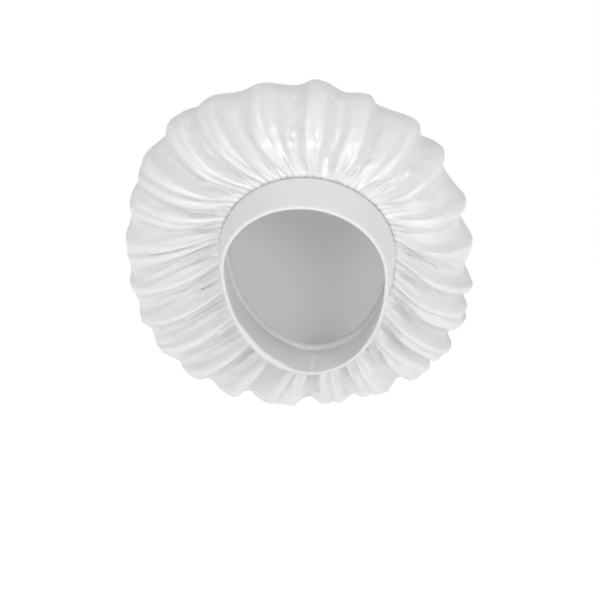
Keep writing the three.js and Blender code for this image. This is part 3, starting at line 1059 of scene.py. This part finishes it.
def make_elastic():
    """Lapped strip with lengthwise ribs on both faces."""
    bm = bmesh.new()
    bmesh.ops.create_grid(bm, x_segments=ELASTIC_COLUMNS, y_segments=2 * ELASTIC_ROWS, size=1)
    places = np.array([vertex.co for vertex in bm.verts])
    turned = (places[:, 0] + 1) / 2 * (TURN + 2 * LAP_HALF)
    row = np.round((places[:, 1] + 1) * ELASTIC_ROWS).astype(int)
    share = np.where(row <= ELASTIC_ROWS, row, 2 * ELASTIC_ROWS - row) / ELASTIC_ROWS
    side = np.where((row <= ELASTIC_ROWS) | (row == 2 * ELASTIC_ROWS), 1, -1)
    height = ELASTIC_BOTTOM + share * (ELASTIC_TOP - CLEARANCE - ELASTIC_BOTTOM)
    half = ELASTIC_THICKNESS / 2 - RIB_DEPTH * (0.5 + 0.5 * np.cos(TURN * ELASTIC_RIBS * share))
    angle = LAP_CENTRE - LAP_HALF + turned
    offset = side * half + elastic_shift(turned) + band_ripple(angle, height)
    lay_cut(bm, np.column_stack([turned / TURN * BAND_LENGTH, share * (ELASTIC_TOP - ELASTIC_BOTTOM)]))
    place_points(bm, band_point(angle, offset, height))
    bmesh.ops.remove_doubles(bm, verts=bm.verts, dist=MERGE_DISTANCE)
    bmesh.ops.holes_fill(bm, edges=[edge for edge in bm.edges if edge.is_boundary], sides=0)
    bmesh.ops.triangulate(bm, faces=[face for face in bm.faces if len(face.verts) > 4])
    bmesh.ops.recalc_face_normals(bm, faces=bm.faces)
    return new_piece("band_webbing", bm, webbing)


# Stitching


def seam_line(name, depth, stitches, radius, dip):
    """Stitches along the seam line, on one side of the turned edges; each dives in at its ends."""
    i = np.arange(stitches * len(STITCH_DIVE))
    dive = np.array(STITCH_DIVE)[i % len(STITCH_DIVE)]
    offset, height = allowance_point(STITCH_LINE, depth + dip * dive)
    path = worn(band_point(i / len(i) * TURN, offset, height))
    return thread_mesh(name, [path], radius, closed=True)


def make_needle_row():
    depth = -(2 * KNIT_THICKNESS + 2 * CLEARANCE + NEEDLE_RADIUS)
    return seam_line("seam_needle_stitches", depth, NEEDLE_STITCHES, NEEDLE_RADIUS, STITCH_DIP)


def make_gather_row():
    depth = 2 * CLEARANCE + SATIN_ROOM + GATHER_RADIUS
    return seam_line("gathering_stitches", depth, GATHER_STITCHES, GATHER_RADIUS, -STITCH_DIP)


def make_overlock():
    """Looped thread over the raw edges, one loop to a stitch, and the chain along their mouths."""
    under = -2 * (KNIT_THICKNESS + CLEARANCE) - OVERLOCK_THICKNESS / 2
    over = 2 * CLEARANCE + SATIN_ROOM + OVERLOCK_THICKNESS / 2
    mouth = SEAM_ALLOWANCE - OVERLOCK_BITE
    end = SEAM_ALLOWANCE + CLEARANCE + OVERLOCK_THICKNESS / 2
    bulge = 0.12 * MM
    corner_along, corner_deep = 0.3 * MM, 0.5 * MM
    chain_sway, chain_lift = 0.25 * MM, 0.1 * MM
    loop = [
        (0.0, mouth, over),
        (0.18, (mouth + end) / 2, over + bulge),
        (0.36, end - corner_along, over),
        (0.46, end, over - corner_deep),
        (0.54, end, under + corner_deep),
        (0.64, end - corner_along, under),
        (0.82, (mouth + end) / 2, under - bulge),
        (0.96, mouth, under),
    ]
    start = np.repeat(np.arange(OVERLOCK_STITCHES), len(loop))
    when, along, depth = np.tile(np.array(loop), (OVERLOCK_STITCHES, 1)).T
    angle = (start + when) / OVERLOCK_STITCHES * TURN
    loops = worn(band_point(angle, *allowance_point(along, depth)))
    i = np.arange(OVERLOCK_STITCHES * 4)
    chain_along = mouth + chain_sway * np.sin(i * math.pi / 2)
    chain_depth = over + chain_lift * np.cos(i * math.pi / 2)
    chain = worn(band_point(i / len(i) * TURN, *allowance_point(chain_along, chain_depth)))
    return thread_mesh("overlock_loops", [loops, chain], OVERLOCK_RADIUS, closed=True)


def make_join():
    """Zigzag up the lining at the centre back, where the band's ends meet."""
    i = np.linspace(0, JOIN_STITCHES, JOIN_STITCHES * 8 + 1)
    sway = np.arcsin(JOIN_SHARPNESS * np.cos(i * math.pi)) / (math.pi / 2)
    angle = math.pi - sway * JOIN_ZIGZAG_WIDTH / 2 / OPENING_HALF_BREADTH
    height = (ELASTIC_TOP - JOIN_LENGTH) / 2 + JOIN_LENGTH * i / JOIN_STITCHES
    lift = JOIN_LIFT * np.abs(np.sin(i * math.pi))
    offset = band_ripple(angle, height) - CHANNEL - KNIT_THICKNESS - JOIN_STANDOFF - lift
    path = worn(band_point(angle, offset, height))
    return thread_mesh("band_join_zigzag", [path], JOIN_RADIUS, closed=False)


def make_tack():
    """Close bar of thread through both ends of the elastic."""
    low = band_point(LAP_CENTRE, 0.0, ELASTIC_BOTTOM)
    high = band_point(LAP_CENTRE, 0.0, ELASTIC_TOP)
    up = unit(high - low)
    outward = band_point(LAP_CENTRE, 1.0, ELASTIC_BOTTOM) - low
    across = unit(np.cross(outward, up))
    outward = np.cross(up, across)
    middle = (low + high) / 2 + outward * band_ripple(np.array(LAP_CENTRE), np.array(BAND_WIDTH / 2))
    face = TACK_REACH + TACK_THICKNESS / 2
    half = TACK_WIDTH / 2
    corners = [(-half, face), (half, face), (half, -face), (-half, -face)]
    last = TACK_TURNS * len(corners)
    path = []
    for i in range(last):
        x, y = corners[i % len(corners)]
        path.append(middle + across * x + outward * y + up * TACK_LENGTH * (i / last - 0.5))
    return thread_mesh("lap_bar_tack", [worn(path)], TACK_THREAD_RADIUS, closed=False)


crown = make_crown()
band = make_band()
elastic = make_elastic()
needle_row = make_needle_row()
gather_row = make_gather_row()
overlock = make_overlock()
join = make_join()
tack = make_tack()

for piece, node, slot in (
    (crown, "crown_panel", "satin"),
    (band, "band_cover", "knit"),
    (elastic, "band_elastic", "elastic"),
    (tack, "elastic_bar_tack", "thread"),
    (join, "band_join_stitches", "thread"),
    (needle_row, "seam_needle_thread", "thread"),
    (gather_row, "gathering_thread", "thread"),
    (overlock, "overlock_thread", "thread"),
):
    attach(piece, "root")
    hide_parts(node)


# Studio


def direct_view(tree):
    """1 for rays that show the background, straight or in a reflection."""
    rays = tree.nodes.new("ShaderNodeLightPath")
    total = rays.outputs["Is Camera Ray"]
    for kind in ("Is Glossy Ray", "Is Transmission Ray"):
        either = tree.nodes.new("ShaderNodeMath")
        either.operation = "MAXIMUM"
        tree.links.new(total, either.inputs[0])
        tree.links.new(rays.outputs[kind], either.inputs[1])
        total = either.outputs[0]
    return total


def glowing_matt(tree, tone, glow):
    """A matt surface that also gives off a little light."""
    matt = tree.nodes.new("ShaderNodeBsdfDiffuse")
    matt.inputs["Color"].default_value = (tone, tone, tone, 1)
    light = tree.nodes.new("ShaderNodeEmission")
    light.inputs["Strength"].default_value = glow
    both = tree.nodes.new("ShaderNodeAddShader")
    tree.links.new(matt.outputs[0], both.inputs[0])
    tree.links.new(light.outputs[0], both.inputs[1])
    return both.outputs[0]


def studio_floor(height):
    """Pale floor that the camera sees as white, apart from the bonnet's soft shadow."""
    material = bpy.data.materials.new("studio_floor")
    material.use_nodes = True
    tree = material.node_tree
    tree.nodes.clear()
    out = tree.nodes.new("ShaderNodeOutputMaterial")
    mix = tree.nodes.new("ShaderNodeMixShader")
    tree.links.new(direct_view(tree), mix.inputs[0])
    tree.links.new(glowing_matt(tree, FLOOR_TONE, TABLE_LIGHT), mix.inputs[1])
    tree.links.new(glowing_matt(tree, SHADOW_TONE, FLOOR_GLOW), mix.inputs[2])
    tree.links.new(mix.outputs[0], out.inputs[0])
    bm = bmesh.new()
    bmesh.ops.create_grid(bm, x_segments=8, y_segments=8, size=FLOOR_HALF)
    bmesh.ops.translate(bm, verts=bm.verts, vec=(0, 0, height))
    new_piece("studio_floor", bm, material)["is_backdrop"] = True


def studio_world(ambient):
    """Even light from all sides, with a white background for the camera."""
    world = bpy.data.worlds.new("studio")
    bpy.context.scene.world = world
    world.use_nodes = True
    tree = world.node_tree
    tree.nodes.clear()
    out = tree.nodes.new("ShaderNodeOutputWorld")
    rays = tree.nodes.new("ShaderNodeLightPath")
    mix = tree.nodes.new("ShaderNodeMixShader")
    tree.links.new(rays.outputs["Is Camera Ray"], mix.inputs[0])
    for socket, strength in ((1, ambient), (2, 1.0)):
        light = tree.nodes.new("ShaderNodeBackground")
        light.inputs["Color"].default_value = (1, 1, 1, 1)
        light.inputs["Strength"].default_value = strength
        tree.links.new(light.outputs[0], mix.inputs[socket])
    tree.links.new(mix.outputs[0], out.inputs[0])


def softbox(name, place, size, power):
    lamp = bpy.data.lights.new(name, "AREA")
    lamp.energy = power
    lamp.shape = "DISK"
    lamp.size = size
    holder = bpy.data.objects.new(name, lamp)
    holder.location = place
    holder.rotation_euler = (Vector(MIDDLE) - Vector(place)).to_track_quat("-Z", "Y").to_euler()
    bpy.context.scene.collection.objects.link(holder)


def photo_camera():
    """At the photograph's angle: a little to the right, almost level."""
    level = math.cos(CAMERA_ELEVATION)
    back = Vector(
        (
            math.sin(CAMERA_AZIMUTH) * level,
            -math.cos(CAMERA_AZIMUTH) * level,
            math.sin(CAMERA_ELEVATION),
        )
    )
    right = Vector((math.cos(CAMERA_AZIMUTH), math.sin(CAMERA_AZIMUTH), 0))
    up = back.cross(right)
    camera = bpy.data.cameras.new("photo_camera")
    camera.lens = camera.sensor_width * CAMERA_DISTANCE / VIEW_WIDTH
    camera.clip_start = 0.05
    holder = bpy.data.objects.new("photo_camera", camera)
    holder.location = right * AIM[0] + up * AIM[1] + back * CAMERA_DISTANCE
    holder.rotation_euler = Matrix((right, up, back)).transposed().to_euler()
    bpy.context.scene.collection.objects.link(holder)
    bpy.context.scene.camera = holder


bpy.context.view_layer.update()
studio_floor(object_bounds()[0][2] - FLOOR_GAP)
studio_world(AMBIENT_LIGHT)
for name, (place, size, power) in SOFTBOXES.items():
    softbox(name, place, size, power)
photo_camera()
bpy.context.scene.view_settings.view_transform = "Standard"
